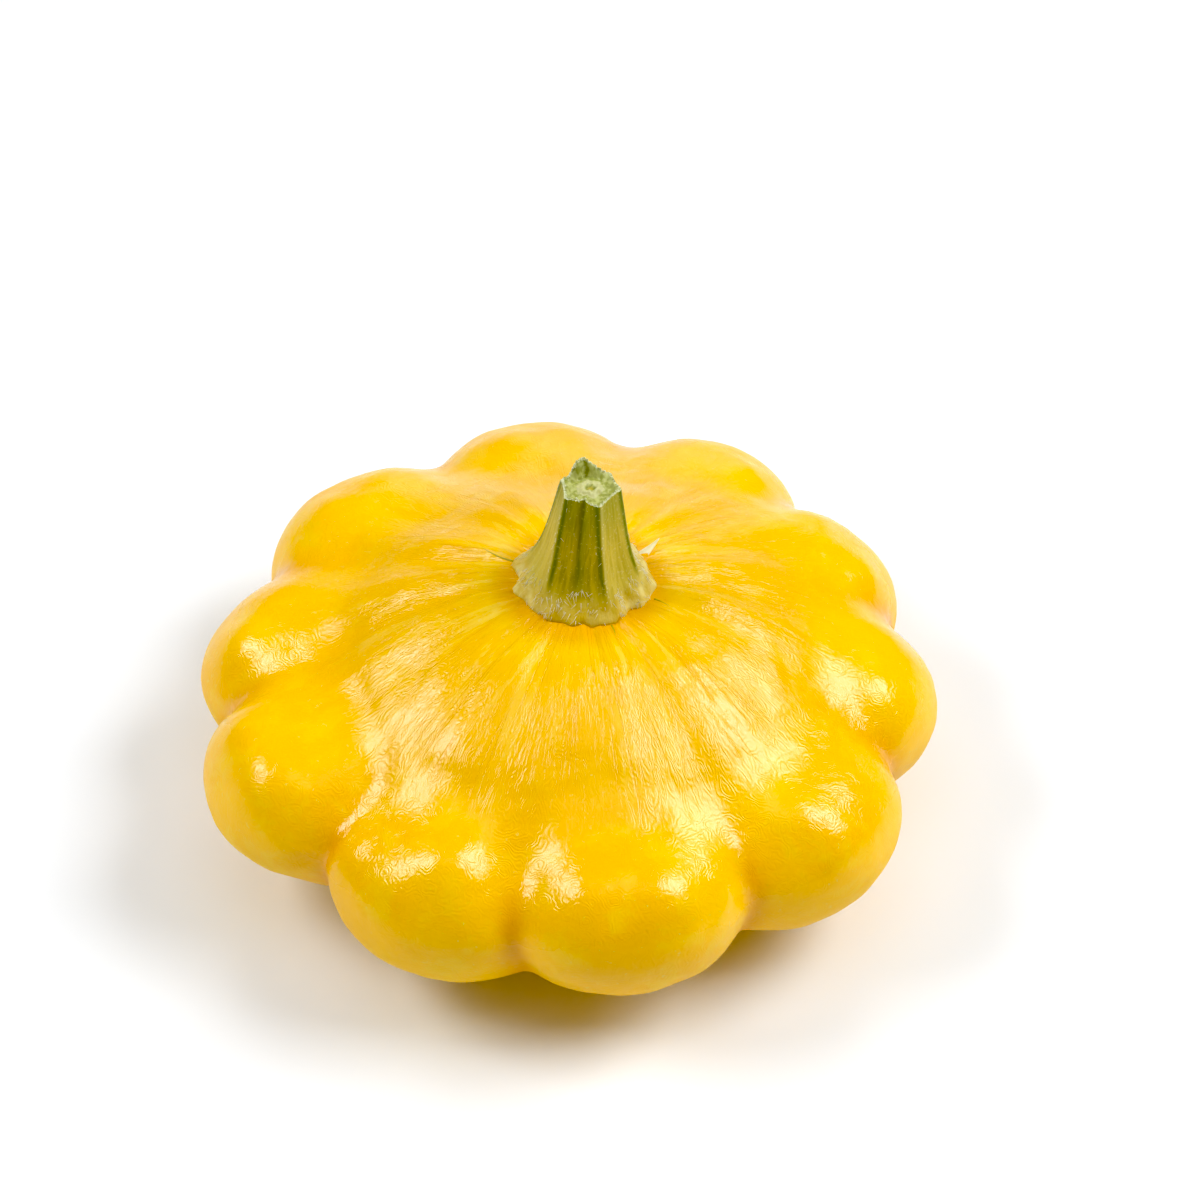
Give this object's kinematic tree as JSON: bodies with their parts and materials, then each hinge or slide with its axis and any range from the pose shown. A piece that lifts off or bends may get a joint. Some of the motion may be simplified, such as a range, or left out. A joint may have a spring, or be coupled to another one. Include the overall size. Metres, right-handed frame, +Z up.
{
  "type": "pattypan squash",
  "caption": "Whole yellow pattypan squash as picked: a low scalloped fruit with a domed crown, a ring of rounded lobes and a short ribbed cut stem.",
  "frame": {"origin": "middle of the flat blossom scar under the fruit, which it rests on", "axes": "+Z up through the stem; +X and +Y are level, with -Y towards the side whose lobes are broadest"},
  "size_m": [0.1176, 0.1197, 0.0679],
  "materials": {
    "skin": "waxy, glossy yellow skin with paler streaks that run out from the stem",
    "stem": "dull ribbed green stalk, paler at its collar and on its cut end"
  },
  "bodies": {
    "root": {"fruit": "skin", "stem": "stem"}
  },
  "joints": []
}
